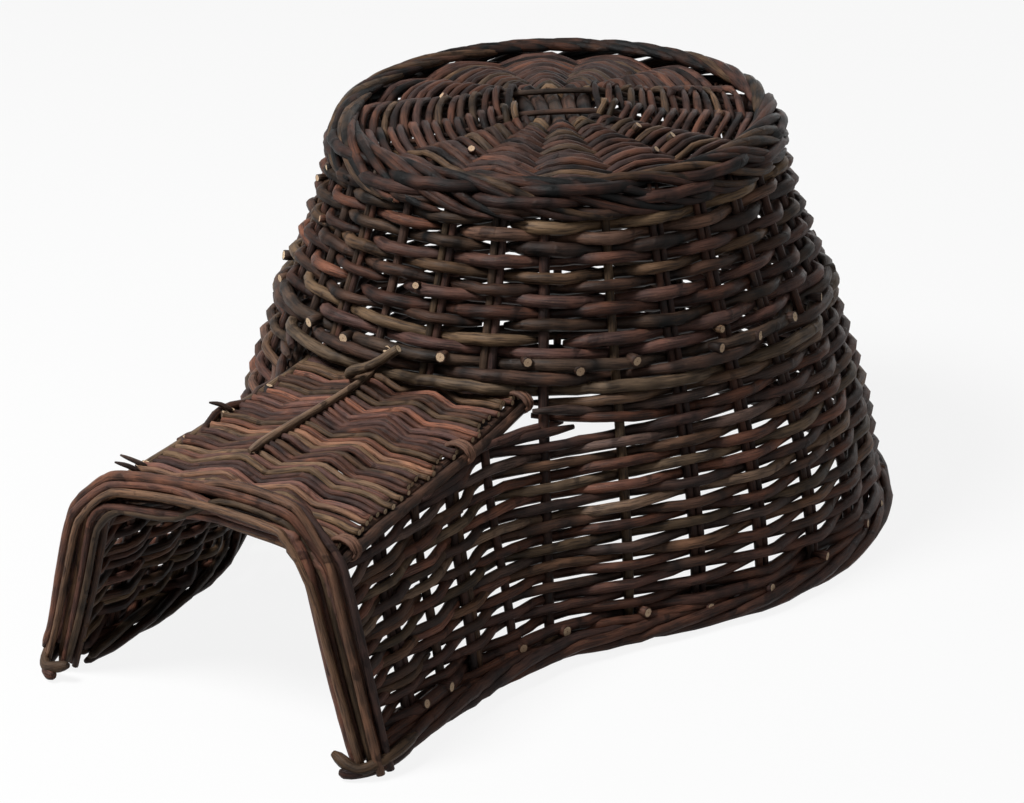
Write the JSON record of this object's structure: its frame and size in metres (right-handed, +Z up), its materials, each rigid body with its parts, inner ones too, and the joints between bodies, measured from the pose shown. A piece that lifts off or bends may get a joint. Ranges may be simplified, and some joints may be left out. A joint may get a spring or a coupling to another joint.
{
  "type": "hedgehog house",
  "caption": "Hedgehog house woven from dark unpeeled willow: a round basket standing upside down, open below, with a straight-sided tunnel entrance.",
  "frame": {"origin": "middle of the box round the part, on the ground it stands on", "axes": "+Z up; -Y from the body towards the tunnel's mouth; +X to the right seen from behind the mouth looking at +Y"},
  "size_m": [0.4102, 0.5518, 0.2586],
  "materials": {
    "bark_dark": "satin",
    "bark_red": "satin",
    "bark_grey": "matte"
  },
  "bodies": {
    "root": {"top_base_sticks": "bark_grey", "top_split_sticks": "bark_grey", "top_binding_rods": "bark_dark", "top_weaving_rods": "bark_dark", "rim_rod_1": "bark_red", "rim_rod_2": "bark_red", "rim_crest_outer": "bark_red", "rim_crest_inner": "bark_red", "wall_stakes": "bark_dark", "front_stakes": "bark_dark", "door_posts": "bark_dark", "tunnel_stakes": "bark_dark", "mouth_posts": "bark_dark", "upper_row_01": "bark_red", "upper_row_02": "bark_dark", "upper_row_03": "bark_grey", "upper_row_04": "bark_red", "upper_row_05": "bark_dark", "upper_row_06": "bark_grey", "upper_row_07": "bark_red", "upper_row_08": "bark_dark", "upper_row_09": "bark_grey", "upper_row_10": "bark_red", "upper_row_11": "bark_dark", "upper_row_12": "bark_grey", "wale_rod_1": "bark_grey", "wale_rod_2": "bark_grey", "wale_rod_3": "bark_grey", "lower_row_01": "bark_dark", "lower_row_02": "bark_red", "lower_row_03": "bark_grey", "lower_row_04": "bark_dark", "lower_row_05": "bark_red", "lower_row_06": "bark_grey", "lower_row_07": "bark_dark", "lower_row_08": "bark_red", "lower_row_09": "bark_grey", "lower_row_10": "bark_dark", "lower_row_11": "bark_red", "lower_row_12": "bark_grey", "lower_row_13": "bark_dark", "lower_row_14": "bark_red", "lower_row_15": "bark_grey", "lower_row_16": "bark_dark", "border_rod_outer": "bark_dark", "border_rod_inner": "bark_dark", "border_wale": "bark_red", "roof_sticks": "bark_grey", "roof_cross_rods": "bark_red", "hoop_rod_1": "bark_dark", "hoop_rod_2": "bark_red", "hoop_rod_3": "bark_dark", "hoop_rod_4": "bark_red", "hoop_rod_5": "bark_dark", "hoop_rod_6": "bark_red", "hoop_rod_7": "bark_dark"}
  },
  "joints": []
}
